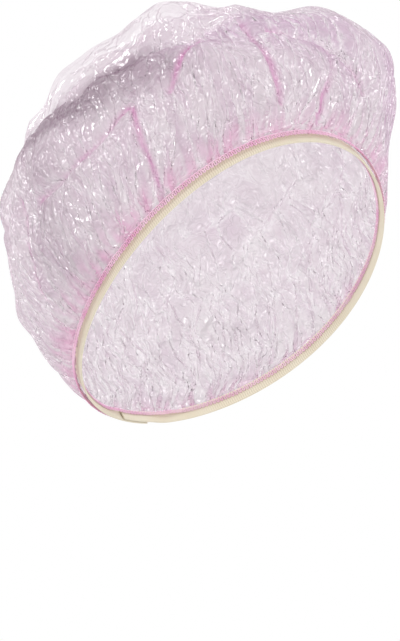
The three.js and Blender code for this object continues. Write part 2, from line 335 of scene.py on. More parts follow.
# A finer table of the same reach, with the film's large folds and unevenness in it.
FINE = 4
WAVE_PEAK = 1.6
fine_around = 2 * math.pi * np.arange(RAYS_AROUND * FINE) / (RAYS_AROUND * FINE)
fine_polar = np.linspace(0, POLAR_END, RAYS_DOWN * FINE)
fine_a, fine_p = np.meshgrid(fine_around, fine_polar, indexing="ij")
fine_ways = ways_from_centre(fine_a, fine_p)
crumpled_reach = reach_at(reach, fine_a.ravel(), fine_p.ravel()).reshape(fine_a.shape)


def rough_field(waves, low, high):
    """Smooth unevenness over all directions from the crown's centre, about -1 to 1."""
    field = np.zeros(fine_a.shape)
    for _ in range(waves):
        wave = rng.normal(0, 1, 3)
        wave *= rng.uniform(low, high) / np.linalg.norm(wave)
        field += np.cos(fine_ways @ wave + rng.uniform(0, 2 * math.pi))
    return field / math.sqrt(waves / 2) / WAVE_PEAK


def line_gap(path):
    """Millimetres from a line of places, each (degrees round, degrees down), in every direction."""
    spots = ways_from_centre(*np.radians(np.array(path, float)).T)
    nearest = np.full(fine_a.shape, np.inf)
    for start, end in zip(spots[:-1], spots[1:]):
        along = end - start
        share = np.clip((fine_ways - start) @ along / (along @ along), 0, 1)
        gap = np.linalg.norm(fine_ways - start - share[..., None] * along, axis=-1)
        nearest = np.minimum(nearest, gap * CROWN_RADIUS)
    return nearest


def fold_line(path, width, depth):
    """A groove of the film along a line of places."""
    return depth * np.exp(-(line_gap(path) / width) ** 2)


# The long fold high on the right side as worn, with a clear puff above it, and the creases below it
# and at the front: each a line of places, its width and its depth.
LONG_FOLD = ((-82, 57), (-65, 68), (-56, 72), (-47, 74.5), (-40, 76), (-32, 78), (-26, 81))
FOLDS = (
    (LONG_FOLD, 5.0, 4.0),
    (((-48, 91), (-51, 102), (-52, 109), (-55, 117)), 2.2, 3.5),
    (((-49, 90), (-58, 93), (-67, 93), (-77, 92), (-88, 88)), 2.6, 3.5),
    (((-12, 81), (-12, 97), (-12, 107)), 2.4, 3.0),
    (((7, 91), (6, 99), (1, 106), (1, 111)), 2.4, 3.0),
    (((-7, 86), (-2, 90), (7, 91), (12, 96), (18, 101)), 2.4, 3.0),
    (((-94, 82), (-102, 94), (-111, 106)), 2.6, 3.0),
    (((-23, 81), (-31, 88), (-38, 95)), 2.4, 2.5),
)
for path, width, depth in FOLDS:
    crumpled_reach -= fold_line(path, width, depth)
# Puffs where the film stands smooth and clear: above the long fold, and at the front's left as worn.
CLEAR_PUFF = ((-84, 46), (-66, 55), (-49, 60), (-36, 64), (-24, 67))
CLEAR_REACH = (26.0, 38.0)
SIDE_PUFF = ((14, 70), (28, 78), (42, 88))
SIDE_REACH = 20.0
FOLD_EDGE = (-2.0, 1.0)
signed_around = (np.degrees(fine_a) + 180) % 360 - 180
fold_polar = np.interp(signed_around, *np.array(LONG_FOLD).T)
above_fold = smooth_step(*FOLD_EDGE, fold_polar - np.degrees(fine_p))
clear_puff = (1 - smooth_step(*CLEAR_REACH, line_gap(CLEAR_PUFF))) * above_fold
side_puff = fold_line(SIDE_PUFF, SIDE_REACH, 1.0)
# Folds at random places on the far side and the back, which the photograph doesn't show.
OTHER_FOLDS = 9
OTHER_AROUND, OTHER_POLAR = (45, 250), (55, 95)
OTHER_LENGTH, OTHER_BEND = (18, 40), 8
OTHER_WIDTH, OTHER_DEPTH = (2.2, 3.5), (2, 3.5)
for _ in range(OTHER_FOLDS):
    around, polar = rng.uniform(*OTHER_AROUND), rng.uniform(*OTHER_POLAR)
    turn, length = rng.uniform(0, math.pi), rng.uniform(*OTHER_LENGTH)
    bend = rng.uniform(-OTHER_BEND, OTHER_BEND)
    middle = (around + length / 2 * math.cos(turn) + bend, polar + length / 2 * math.sin(turn))
    end = (around + length * math.cos(turn), polar + length * math.sin(turn))
    width, depth = rng.uniform(*OTHER_WIDTH), rng.uniform(*OTHER_DEPTH)
    crumpled_reach -= fold_line([(around, polar), middle, end], width, depth)
# Unevenness of the slack film, which dies away towards the tape.
UNEVEN_WAVES = 24
RIDGE_WAVES, RIDGE_HEIGHT = (9, 16), 1.0
SMALL_WAVES, SMALL_HEIGHT = (18, 30), 1.2
SET_BACK = 0.8
LOOSE_ABOVE, LOOSE_RAMP = math.radians(116), math.radians(30)
loose = np.clip((LOOSE_ABOVE - fine_p) / LOOSE_RAMP, 0, 1)
ridges = 1 - 2 * np.abs(rough_field(UNEVEN_WAVES, *RIDGE_WAVES))
small = rough_field(UNEVEN_WAVES, *SMALL_WAVES)
crumpled_reach += loose * (RIDGE_HEIGHT * ridges + SMALL_HEIGHT * small) - SET_BACK

spots, faces = cut_disc(DISC_RINGS, DISC_RADIUS)
flat_radius, flat_angle = spots[:, 0], spots[:, 1]
flat = np.stack([flat_radius * np.sin(flat_angle), -flat_radius * np.cos(flat_angle)], axis=1)
from_edge = DISC_RADIUS - flat_radius
sewn = from_edge < HEM_DEPTH + SEWN_MARGIN
edges, hinges = edges_and_hinges(faces)

# Plain lines of the crown from the tape to the top, one for each angle, evenly spaced by length.
LINES, LINE_STEPS = 240, 160
LINE_PARTS = 240
LEAVE_PARTS = 20
LEAST_GIRTH = 20
LEAST_NORMAL = 1e-9
line_angle = 2 * math.pi * np.arange(LINES) / LINES
line_foot = loop_points(line_angle, SEWN_CLEARANCE, TAPE_WIDTH)
lines = np.zeros((LINES, LINE_STEPS, 3))
for i in range(LINES):
    way = line_foot[i] - CROWN_CENTRE
    way /= np.linalg.norm(way)
    bend = math.acos(way @ TOP_WAY)
    part = np.linspace(0, 1, LINE_PARTS)[:, None]
    ways = (np.sin((1 - part) * bend) * way + np.sin(part * bend) * TOP_WAY) / math.sin(bend)
    _, around, polar = seen_from_centre(CROWN_CENTRE + ways)
    line = CROWN_CENTRE + reach_at(reach, around, polar)[:, None] * ways
    leave = np.clip(np.arange(LINE_PARTS) / LEAVE_PARTS, 0, 1)[:, None]
    line = line_foot[i] * (1 - leave) + line * leave
    length = np.concatenate([[0], np.cumsum(np.linalg.norm(np.diff(line, axis=0), axis=1))])
    even = np.linspace(0, length[-1], LINE_STEPS)
    lines[i] = np.stack([np.interp(even, length, line[:, c]) for c in range(3)], 1)
line_round = (np.roll(lines, -1, 0) - np.roll(lines, 1, 0)) / 2
line_normals = np.cross(line_round, np.gradient(lines, axis=1))
line_normals /= np.maximum(np.linalg.norm(line_normals, axis=2, keepdims=True), LEAST_NORMAL)
girth = np.linalg.norm(np.roll(lines, -1, 0) - lines, axis=2).sum(axis=0)

# Gathers: at the seam the film is laid in narrow tucks, three layers deep. A little higher the tucks
# open, and the spare film stands in pleats instead, many low down and fewer further up.
TUCKS = 150
TUCK_OPEN = (5.0, 34.0)
TUCK_SPREAD = (0.5, 1.5)
TUCK_SHIFT = 0.4
TUCK_SLANT = 0.00012
TUCK_SWAPS, TUCK_PHASE, TUCK_CHANCE = 5, 1.0, 0.5
TUCK_BEND = 0.75
LEAST_TUCK, WHOLE_TUCK = 0.2, 2
LAYER_END = (1.0, 4.0)
LAYER_GAP = 0.6
COLUMNS = 2160
ring_gap = np.linspace(0, DISC_RADIUS, DISC_RINGS + 1)
ring_flat = 2 * math.pi * (DISC_RADIUS - ring_gap)
ring_share = np.clip((ring_gap - HEM_DEPTH) / (DISC_RADIUS - HEM_DEPTH), 0, 1)
ring_girth = np.interp(ring_share, np.linspace(0, 1, LINE_STEPS), girth)
spare = np.maximum(ring_flat - ring_girth, 0)
tucked = spare * (1 - smooth_step(*TUCK_OPEN, ring_gap))
tuck_width = rng.uniform(*TUCK_SPREAD, TUCKS)
tuck_width = tuck_width[:, None] / tuck_width.sum() * tucked / 2
tuck_place = (np.arange(TUCKS) + rng.uniform(-TUCK_SHIFT, TUCK_SHIFT, TUCKS)) / TUCKS
tuck_slant = rng.normal(0, TUCK_SLANT, TUCKS)
tuck_lean = np.sin(2 * math.pi * TUCK_SWAPS * tuck_place + TUCK_PHASE) + rng.normal(0, TUCK_CHANCE, TUCKS)
tuck_side = np.where(tuck_lean > 0, 1, -1)
turn_share = np.arange(COLUMNS)[:, None] / COLUMNS
shift = turn_share * tucked
layer = np.zeros_like(shift)
for place, slant, side, width in zip(tuck_place, tuck_slant, tuck_side, tuck_width):
    away = turn_share - place - slant * ring_gap
    turns = np.round(away)
    across = (away - turns) * ring_flat / np.maximum(width, LEAST_TUCK)
    shift -= 2 * width * (turns + smooth_step(-TUCK_BEND, TUCK_BEND, across))
    over = smooth_step(-TUCK_BEND, TUCK_BEND, side * across) * (1 - smooth_step(*LAYER_END, side * across))
    layer = np.maximum(layer, over * np.minimum(width / WHOLE_TUCK, 1))
shift -= shift.mean(axis=0)


def drift(waves, shortest, longest):
    """Slow wandering over the flat disc, about -1 to 1, with wavelengths in millimetres."""
    field = np.zeros(len(flat))
    for _ in range(waves):
        way = rng.uniform(0, 2 * math.pi)
        wave = 2 * math.pi / rng.uniform(shortest, longest) * np.array([math.cos(way), math.sin(way)])
        field += np.cos(flat @ wave + rng.uniform(0, 2 * math.pi))
    return field / math.sqrt(waves / 2) / WAVE_PEAK


share = np.clip((from_edge - HEM_DEPTH) / (DISC_RADIUS - HEM_DEPTH), 0, 1)
tuck_spot = flat_angle / (2 * math.pi) * COLUMNS, from_edge / DISC_RADIUS * DISC_RINGS
base_girth = np.interp(share, np.linspace(0, 1, LINE_STEPS), girth)
moved = flat_angle / (2 * math.pi) + table_value(shift, *tuck_spot) / np.maximum(base_girth, LEAST_GIRTH)
layer_here = table_value(layer, *tuck_spot)
line_place = moved * LINES, share * (LINE_STEPS - 1)
outwards = table_value(line_normals, *line_place)
base = table_value(lines, *line_place)
_, around, polar = seen_from_centre(base)
smooth_here = np.minimum(reach_at(clear_puff, around, polar) + reach_at(side_puff, around, polar), 1)

# Pleats: (how many round the cap, the distances from the edge over which they begin and end).
PLEATS = ((168, -20, 0, 40, 70), (112, 40, 70, 90, 125), (66, 90, 125, 170, 215))
PUFF_PLEATS = 38
PLEAT_SLOPE = 2.2
DRIFT_WAVES = 14
WANDER, WANDER_LENGTHS = 2.2, (45, 120)
WOBBLE, WOBBLE_LENGTHS = 1.2, (22, 45)
PLEAT_HEIGHT, HEIGHT_PLAY, HEIGHT_LENGTHS = 0.9, 0.4, (18, 50)
packed = np.interp(from_edge, ring_gap, (spare - tucked) / np.maximum(ring_girth, LEAST_GIRTH))
pleat_slope = PLEAT_SLOPE * np.sqrt(np.maximum(packed, 0))


def pleat_wave(count):
    """Height of a number of uneven pleats round the cap, as steep as the spare film makes them."""
    turn = flat_angle * count + WANDER * drift(DRIFT_WAVES, *WANDER_LENGTHS)
    turn = turn + WOBBLE * drift(DRIFT_WAVES, *WOBBLE_LENGTHS)
    height = pleat_slope * base_girth / count / (2 * math.pi)
    return height * np.cos(turn) * (PLEAT_HEIGHT + HEIGHT_PLAY * drift(DRIFT_WAVES, *HEIGHT_LENGTHS))


pleats = np.zeros(len(flat))
for count, begin, full, fade, end in PLEATS:
    lives = smooth_step(begin, full, from_edge) * (1 - smooth_step(fade, end, from_edge))
    pleats += lives * pleat_wave(count)
pleats += smooth_here * (pleat_wave(PUFF_PLEATS) - pleats)
RIPPLES, RIPPLE_WAVES, RIPPLE_PHASE = 30, (0.12, 0.35), 6.28
RIPPLE_HEIGHT = 0.22
RIPPLE_RAMP = ((0, 6, 40), (0, 0, 1))
ripple = np.zeros(len(flat))
for _ in range(RIPPLES):
    wave = rng.normal(0, 1, 2) * rng.uniform(*RIPPLE_WAVES)
    ripple += np.cos(flat @ wave + rng.uniform(0, RIPPLE_PHASE))
ripple *= RIPPLE_HEIGHT * np.interp(from_edge, *RIPPLE_RAMP)
x = base + (2 * LAYER_GAP * layer_here + ripple + pleats)[:, None] * outwards
hem_height = TAPE_WIDTH - HEM_DEPTH + from_edge
hem = loop_points(2 * math.pi * moved, SEWN_CLEARANCE + 2 * HEM_PLAY * layer_here, hem_height)
x[sewn] = hem[sewn]


def cell_bulge(size):
    """Pillows between creases, as on crumpled film: 0 on a crease and about 1 between creases."""
    cells = round(math.pi * DISC_RADIUS ** 2 / size ** 2)
    radius = DISC_RADIUS * np.sqrt(rng.uniform(0, 1, cells))
    turn = rng.uniform(0, 2 * math.pi, cells)
    seeds = np.stack([radius * np.sin(turn), -radius * np.cos(turn)], axis=1)
    tree = KDTree(cells)
    for i, (u, v) in enumerate(seeds):
        tree.insert((u, v, 0), i)
    tree.balance()
    gaps = np.empty((len(flat), 2))
    for i, (u, v) in enumerate(flat.tolist()):
        gaps[i] = [found[2] for found in tree.find_n((u, v, 0), 2)]
    return np.clip((gaps[:, 1] - gaps[:, 0]) / size, 0, 1)


# How the film lies at distances from its edge: the depth of its crumples, and how far it may stand
# inside and outside the crown's reach.
LARGE_CELL, LARGE_SHARE = 19.0, 0.7
SMALL_CELL, SMALL_SHARE = 9.0, 0.3
CRUMPLE_DEPTH = ((0, 14, 50, 110, 232), (0, 0.5, 1.4, 3.4, 4.0))
ROOM_INSIDE = ((0, 15, 60, 140, 232), (1.5, 4, 8, 10, 10))
ROOM_OUTSIDE = ((0, 10, 40, 120, 232), (1.5, 2.0, 2.5, 2.5, 2.0))
PUFF_CALM = 0.9
EACH_END = 0.5
crumple = LARGE_SHARE * cell_bulge(LARGE_CELL) + SMALL_SHARE * cell_bulge(SMALL_CELL)
crumple_depth = np.interp(from_edge, *CRUMPLE_DEPTH) * (1 - PUFF_CALM * smooth_here)
room = np.interp(from_edge, *ROOM_INSIDE)
proud = np.interp(from_edge, *ROOM_OUTSIDE)
rest = np.linalg.norm(flat[edges[:, 0]] - flat[edges[:, 1]], axis=1)
hinge_rest = np.linalg.norm(flat[hinges[:, 0]] - flat[hinges[:, 1]], axis=1)
edge_count = np.bincount(edges.ravel(), minlength=len(x)) * EACH_END
hinge_count = np.bincount(hinges.ravel(), minlength=len(x)) * EACH_END


def pull(pairs, moves, count):
    """Mean move of each point, when both ends of every pair move towards or away from each other."""
    shift = np.empty((len(count), 3))
    for c in range(3):
        shift[:, c] = (np.bincount(pairs[:, 0], moves[:, c], len(count))
                       - np.bincount(pairs[:, 1], moves[:, c], len(count)))
    return shift / np.maximum(count, EACH_END)[:, None]


# The sheet settles: its edges keep their flat length, its hinges resist folding, its hem stays on the
# tape, and it stays near the crown. Blender's own cloth is too slow for this many points.
STEPS, CRUMPLE_STEPS = 200, 120
CRUMPLE_PULL, CRUMPLE_MIDDLE, CRUMPLED_FROM = 0.03, 0.65, 0.4
PUFF = 0.004
KEEP_SPEED = 0.94
PASSES = 2
OVER_PULL = 1.1
SQUEEZE = 0.5
BEND = 0.012
SHUT_HINGE, SHUT_PUSH = 0.45, 0.5
LEAST_LENGTH = 1e-6
before = x.copy()
for step in range(STEPS):
    speed = (x - before) * KEEP_SPEED
    before = x.copy()
    size, around, polar = seen_from_centre(x)
    push = np.full(len(x), PUFF)
    if step < CRUMPLE_STEPS:
        wanted = reach_at(crumpled_reach, around, polar) + crumple_depth * (crumple - CRUMPLE_MIDDLE) + pleats
        push = push + CRUMPLE_PULL * (wanted - size) * (crumple_depth > CRUMPLED_FROM)
    x = x + speed + push[:, None] * (x - CROWN_CENTRE) / size[:, None]
    for _ in range(PASSES):
        gap = x[edges[:, 1]] - x[edges[:, 0]]
        length = np.linalg.norm(gap, axis=1)
        strain = (length - rest) / np.maximum(length, LEAST_LENGTH)
        strain = np.where(strain > 0, strain, SQUEEZE * strain)
        x = x + OVER_PULL * pull(edges, gap * (strain * EACH_END)[:, None], edge_count)
        gap = x[hinges[:, 1]] - x[hinges[:, 0]]
        length = np.linalg.norm(gap, axis=1)
        strain = (length - hinge_rest) / np.maximum(length, LEAST_LENGTH)
        strain = np.where(length < SHUT_HINGE * hinge_rest, strain * SHUT_PUSH, strain * BEND)
        x = x + pull(hinges, gap * (strain * EACH_END)[:, None], hinge_count)
        x[sewn] = hem[sewn]
    size, around, polar = seen_from_centre(x)
    limit = reach_at(crumpled_reach, around, polar)
    held = np.where(sewn, size, np.clip(size, limit - room, limit + proud))
    x = CROWN_CENTRE + (x - CROWN_CENTRE) * (held / size)[:, None]
    x[sewn] = hem[sewn]

mesh = bpy.data.meshes.new("crown_film_sheet")
mesh.from_pydata(placed(x).tolist(), [], faces.tolist())
mesh.update()
mesh.polygons.foreach_set("use_smooth", [True] * len(mesh.polygons))
film = bpy.data.objects.new("crown_film_sheet", mesh)
bpy.context.collection.objects.link(film)
# Places on the flat cut, and places round the cap with little change upwards, for the long streaks.
ROUND_RADIUS = 93.0
UP_SHARE = 0.12
point_attribute(film, "flat_cut", "FLOAT_VECTOR",
                np.stack([flat[:, 0], flat[:, 1], np.zeros(len(flat))], axis=1) / MM_PER_M)
point_attribute(film, "round_and_up", "FLOAT_VECTOR",
                np.stack([ROUND_RADIUS * np.sin(flat_angle), -ROUND_RADIUS * np.cos(flat_angle),
                          UP_SHARE * from_edge], axis=1) / MM_PER_M)
point_attribute(film, "from_edge", "FLOAT", from_edge / MM_PER_M)
# Below the long fold the film lies several layers deep and is darkened with a painted grey-mauve shade, in
# streaks beside the fold and down the side.
DEEP_SHADE_BAND = ((-130, 64), (-104, 61), (-80, 62.5), (-66, 71.5), (-56, 75.5), (-46, 78), (-38, 80),
             (-30, 82.5))
DEEP_REACH = (11.0, 30.0)
DEEP_SIDE_SHADE, SIDE_WIDTH, SIDE_DEPTH = ((-76, 76), (-82, 86), (-88, 96), (-94, 108)), 24.0, 0.45
BAND_RISE = 2.5
BAND_BACK, BAND_FRONT = (-124, -74), (-40, -25)
STREAK_PITCH, STREAK_WANDER = 4.4, 6
STREAK_DEPTH, STREAK_WAVES = 0.08, (12, 5, 9)
PATCH_MEAN, PATCH_PLAY, PATCH_LEAST, PATCH_WAVES = 0.93, 0.3, 0.5, (24, 12, 28)
streak_turn = 2 * math.pi * line_gap(LONG_FOLD) / STREAK_PITCH + STREAK_WANDER * rough_field(*STREAK_WAVES)
streaked = 1 - STREAK_DEPTH + STREAK_DEPTH * np.cos(streak_turn)
patchy = np.clip(PATCH_MEAN + PATCH_PLAY * rough_field(*PATCH_WAVES), PATCH_LEAST, 1)
band_ends = smooth_step(*BAND_BACK, signed_around) * (1 - smooth_step(*BAND_FRONT, signed_around))
band_foot = 1 - smooth_step(*FOLD_EDGE, fold_polar - BAND_RISE - np.degrees(fine_p))
deep_band_and_shade = (1 - smooth_step(*DEEP_REACH, line_gap(DEEP_SHADE_BAND))) * band_ends
band_layers_and_shade = np.maximum(deep_band_and_shade, fold_line(DEEP_SIDE_SHADE, SIDE_WIDTH, SIDE_DEPTH)) * streaked * patchy * band_foot
# Along the creases the doubled film shows as narrow pink strips, stronger and weaker by turns.
STRIP_WIDTH = 1.6
STRIP_MEAN, STRIP_PLAY, STRIP_LEAST, STRIP_WAVES = 0.75, 0.45, 0.25, (16, 10, 22)
strips = np.max([fold_line(path, STRIP_WIDTH, 1.0) for path, _, _ in FOLDS[1:]], axis=0)
strips *= np.clip(STRIP_MEAN + STRIP_PLAY * rough_field(*STRIP_WAVES), STRIP_LEAST, 1)
# Where the pleats draw together at the top, and round the side puff, more layers look mauve.
TOP_GATHER, TOP_WIDTH, TOP_DEPTH = ((-26, 80), (-13, 82), (-2, 86), (8, 89)), 18.0, 0.9
PUFF_RIM, RIM_WIDTH, RIM_DEPTH = ((28, 92), (38, 98), (46, 106)), 14.0, 0.8
layered = np.maximum(fold_line(TOP_GATHER, TOP_WIDTH, TOP_DEPTH), fold_line(PUFF_RIM, RIM_WIDTH, RIM_DEPTH))
# Milkiness: most where the film lies in layers along the long fold, least on the puffs.
FILM_MILK, FOLD_MILK, STRIP_MILK = 0.6, 0.36, 0.22
PUFF_CLEAR, SIDE_CLEAR = 0.48, 0.15
_, around, polar = seen_from_centre(x)
fold_layers_and_shade, strip = reach_at(band_layers_and_shade, around, polar), reach_at(strips, around, polar)
clear_here, side_here = reach_at(clear_puff, around, polar), reach_at(side_puff, around, polar)
milkiness = (FILM_MILK + FOLD_MILK * fold_layers_and_shade + STRIP_MILK * strip
             - PUFF_CLEAR * clear_here * (1 - fold_layers_and_shade) - SIDE_CLEAR * side_here)
point_attribute(film, "milkiness", "FLOAT", milkiness)
point_attribute(film, "fold_layers_and_shade", "FLOAT", fold_layers_and_shade)
point_attribute(film, "strip", "FLOAT", strip)
point_attribute(film, "layered", "FLOAT", reach_at(layered, around, polar))
# Painted light along sharp folds, paler than the film around them: how far each hinge is shut, taken over the
# points around it.
FOLD_LIGHT_SPAN = (0.01, 0.15)
shut = 1 - np.linalg.norm(x[hinges[:, 1]] - x[hinges[:, 0]], axis=1) / hinge_rest
shut_sum = np.bincount(hinges.ravel(), np.repeat(shut, 2), len(x))
shut_mean = shut_sum / np.maximum(2 * hinge_count, 1)
edge_sum = np.bincount(edges[:, 0], shut_mean[edges[:, 1]], len(x))
edge_sum += np.bincount(edges[:, 1], shut_mean[edges[:, 0]], len(x))
painted_fold_light = smooth_step(*FOLD_LIGHT_SPAN, (shut_mean + edge_sum / (2 * edge_count)) / 2)
# Painted light on the steep sides of the pleats: they are drawn paler than the film that lies flat on the
# crown.
STEEP, STEEP_LIGHT_SHARE = (0.4, 0.85), 0.9
face_normals = np.cross(x[faces[:, 1]] - x[faces[:, 0]], x[faces[:, 2]] - x[faces[:, 0]])
normals = np.stack([np.bincount(faces.ravel(), np.repeat(face_normals[:, c], 3), len(x)) for c in range(3)],
                   axis=1)
outward = x - CROWN_CENTRE
facing = np.abs((normals * outward).sum(1))
facing /= np.linalg.norm(normals, axis=1) * np.linalg.norm(outward, axis=1)
painted_fold_light = np.maximum(painted_fold_light, STEEP_LIGHT_SHARE * smooth_step(*STEEP, 1 - facing))
point_attribute(film, "painted_fold_light", "FLOAT", painted_fold_light)
# The puffs are pulled nearly smooth, so the fine creases of the finish are weak there.
PUFF_SMOOTH, SIDE_SMOOTH = 0.85, 0.5
creased = 1 - np.clip(PUFF_SMOOTH * clear_here + SIDE_SMOOTH * side_here, 0, PUFF_SMOOTH)
point_attribute(film, "creased", "FLOAT", creased)

# Blown polyethylene film: clear with a faint pink tint, milky where it scatters light, with a bright
# gloss. Sharp creases some millimetres apart break the gloss into glints; stacked layers go pinker.
CREASE_SIZE, FINE_CREASE_SIZE, STREAK_SIZE = 0.02, 0.006, 0.0032
DYE_CLOUD_SIZE, MILK_CLOUD_SIZE = 0.045, 0.012
CREASE_HEIGHT = 0.011
FINE_SHARE, STREAK_SHARE = 0.3, 0.3
HEM_TOP, GATHER_END, PLEAT_END = 0.003, 0.026, 0.12
WHITE = (1, 1, 1, 1)
film_finish, tree = new_material("blown_pink_polyethylene_film")
flat_cut = add_node(tree, "ShaderNodeAttribute", {"attribute_name": "flat_cut"})
round_and_up = add_node(tree, "ShaderNodeAttribute", {"attribute_name": "round_and_up"})
edge_gap = add_node(tree, "ShaderNodeAttribute", {"attribute_name": "from_edge"})
creases = add_node(tree, "ShaderNodeTexNoise", {"Scale": 1 / CREASE_SIZE, "Detail": 1.0, "Distortion": 0.6},
                   {"Vector": (flat_cut, "Vector")})
fine_creases = add_node(tree, "ShaderNodeTexNoise",
                        {"Scale": 1 / FINE_CREASE_SIZE, "Detail": 1.0, "Distortion": 0.8},
                        {"Vector": (flat_cut, "Vector")})
streaks = add_node(tree, "ShaderNodeTexNoise", {"Scale": 1 / STREAK_SIZE, "Detail": 2.0},
                   {"Vector": (round_and_up, "Vector")})
near_seam = add_node(tree, "ShaderNodeMapRange",
                     {"interpolation_type": "SMOOTHSTEP", "From Min": HEM_TOP, "From Max": PLEAT_END,
                      "To Min": 1.0, "To Max": 0.0},
                     {"Value": (edge_gap, "Fac")})
at_seam = add_node(tree, "ShaderNodeMapRange",
                   {"interpolation_type": "SMOOTHSTEP", "From Min": HEM_TOP, "From Max": GATHER_END,
                    "To Min": 0.85, "To Max": 0.0},
                   {"Value": (edge_gap, "Fac")})
crease_side = add_node(tree, "ShaderNodeMath", {"operation": "SUBTRACT", 1: 0.5}, {0: (creases, 0)})
crease_ridge = add_node(tree, "ShaderNodeMath", {"operation": "ABSOLUTE"}, {0: (crease_side, 0)})
fine_side = add_node(tree, "ShaderNodeMath", {"operation": "SUBTRACT", 1: 0.5}, {0: (fine_creases, 0)})
fine_ridge = add_node(tree, "ShaderNodeMath", {"operation": "ABSOLUTE"}, {0: (fine_side, 0)})
crease_height = add_node(tree, "ShaderNodeMath", {"operation": "MULTIPLY_ADD", 1: FINE_SHARE},
                         {0: (fine_ridge, 0), 2: (crease_ridge, 0)})
streak_height = add_node(tree, "ShaderNodeMath", {"operation": "MULTIPLY"},
                         {0: (streaks, 0), 1: (near_seam, 0)})
film_height = add_node(tree, "ShaderNodeMath", {"operation": "MULTIPLY_ADD", 1: STREAK_SHARE},
                       {0: (streak_height, 0), 2: (crease_height, 0)})
creased_here = add_node(tree, "ShaderNodeAttribute", {"attribute_name": "creased"})
crease_depth = add_node(tree, "ShaderNodeMath", {"operation": "MULTIPLY"},
                        {0: (film_height, 0), 1: (creased_here, "Fac")})
bump = add_node(tree, "ShaderNodeBump", {"Strength": 1.0, "Distance": CREASE_HEIGHT},
                {"Height": (crease_depth, 0)})
streak_side = add_node(tree, "ShaderNodeMapRange",
                       {"interpolation_type": "SMOOTHSTEP", "From Min": 0.36, "From Max": 0.66},
                       {"Value": (streaks, 0)})
seam_pink = add_node(tree, "ShaderNodeMath", {"operation": "MULTIPLY", "use_clamp": True},
                     {0: (at_seam, 0), 1: (streak_side, 0)})
tint = add_node(tree, "ShaderNodeMix",
                {"data_type": "RGBA", COLOUR_A: linear("#fdfafc"), COLOUR_B: linear("#fbe4ef")},
                {0: (seam_pink, 0)})
# Thin film scatters light onwards within a few degrees, so it hardly shades the film behind it.
light = add_node(tree, "ShaderNodeLightPath")
lighting = add_node(tree, "ShaderNodeMath", {"operation": "MAXIMUM"},
                    {0: (light, "Is Shadow Ray"), 1: (light, "Is Diffuse Ray")})
passed = add_node(tree, "ShaderNodeMix", {"data_type": "RGBA", COLOUR_B: WHITE},
                  {0: (lighting, 0), COLOUR_A: (tint, COLOUR_OUT)})
clear = add_node(tree, "ShaderNodeBsdfTransparent", None, {"Color": (passed, COLOUR_OUT)})
# Colour of the milky haze: grey-pink in clouds and streaks, mauve in layers, painted light at sharp folds and
# on steep pleat sides, painted grey-mauve shade below the long fold, and pink in the strips and at the seam.
in_layers = add_node(tree, "ShaderNodeAttribute", {"attribute_name": "layered"})
at_fold = add_node(tree, "ShaderNodeAttribute", {"attribute_name": "painted_fold_light"})
in_fold_shade = add_node(tree, "ShaderNodeAttribute", {"attribute_name": "fold_layers_and_shade"})
in_strip = add_node(tree, "ShaderNodeAttribute", {"attribute_name": "strip"})
dye_cloud = add_node(tree, "ShaderNodeTexNoise", {"Scale": 1 / DYE_CLOUD_SIZE, "Detail": 1.0},
                     {"Vector": (flat_cut, "Vector")})
dye = add_node(tree, "ShaderNodeMapRange", {"From Min": 0.3, "From Max": 0.7}, {"Value": (dye_cloud, 0)})
# A Mix node's inputs and output for numbers.
NUMBER_A, NUMBER_B, NUMBER_OUT = 2, 3, 0
pleat_dye = add_node(tree, "ShaderNodeMix", None,
                     {0: (near_seam, 0), NUMBER_A: (dye, 0), NUMBER_B: (streak_side, 0)})
base_haze = add_node(tree, "ShaderNodeMix",
                     {"data_type": "RGBA", COLOUR_A: linear("#cec1c8"), COLOUR_B: linear("#b99eb1")},
                     {0: (pleat_dye, NUMBER_OUT)})
layer_haze = add_node(tree, "ShaderNodeMix", {"data_type": "RGBA", COLOUR_B: linear("#b58aae")},
                      {0: (in_layers, "Fac"), COLOUR_A: (base_haze, COLOUR_OUT)})
# Painted light: the haze turns pale at sharp folds and on steep pleat sides.
fold_light_haze = add_node(tree, "ShaderNodeMix", {"data_type": "RGBA", COLOUR_B: linear("#eee4eb")},
                      {0: (at_fold, "Fac"), COLOUR_A: (layer_haze, COLOUR_OUT)})
# Painted shade: the haze goes dark grey-mauve below the long fold, darker than the layered film alone.
fold_shade_haze = add_node(tree, "ShaderNodeMix", {"data_type": "RGBA", COLOUR_B: linear("#866d7e")},
                     {0: (in_fold_shade, "Fac"), COLOUR_A: (fold_light_haze, COLOUR_OUT)})
strip_haze = add_node(tree, "ShaderNodeMix", {"data_type": "RGBA", COLOUR_B: linear("#c983b2")},
                      {0: (in_strip, "Fac"), COLOUR_A: (fold_shade_haze, COLOUR_OUT)})
haze_tint = add_node(tree, "ShaderNodeMix", {"data_type": "RGBA", COLOUR_B: linear("#dba6c5")},
                     {0: (seam_pink, 0), COLOUR_A: (strip_haze, COLOUR_OUT)})
front_haze = add_node(tree, "ShaderNodeBsdfDiffuse", None,
                      {"Color": (haze_tint, COLOUR_OUT), "Normal": (bump, 0)})
back_haze = add_node(tree, "ShaderNodeBsdfTranslucent", None,
                     {"Color": (haze_tint, COLOUR_OUT), "Normal": (bump, 0)})
haze = add_node(tree, "ShaderNodeMixShader", {0: 0.5}, {1: (front_haze, 0), 2: (back_haze, 0)})
milk_cloud = add_node(tree, "ShaderNodeTexNoise", {"Scale": 1 / MILK_CLOUD_SIZE, "Detail": 3.0},
                      {"Vector": (flat_cut, "Vector")})
milky = add_node(tree, "ShaderNodeAttribute", {"attribute_name": "milkiness"})
uneven = add_node(tree, "ShaderNodeMapRange",
                  {"From Min": 0.3, "From Max": 0.7, "To Min": -0.08, "To Max": 0.08},
                  {"Value": (milk_cloud, 0)})
haze_share = add_node(tree, "ShaderNodeMath", {"operation": "ADD", "use_clamp": True},
                      {0: (milky, "Fac"), 1: (uneven, 0)})
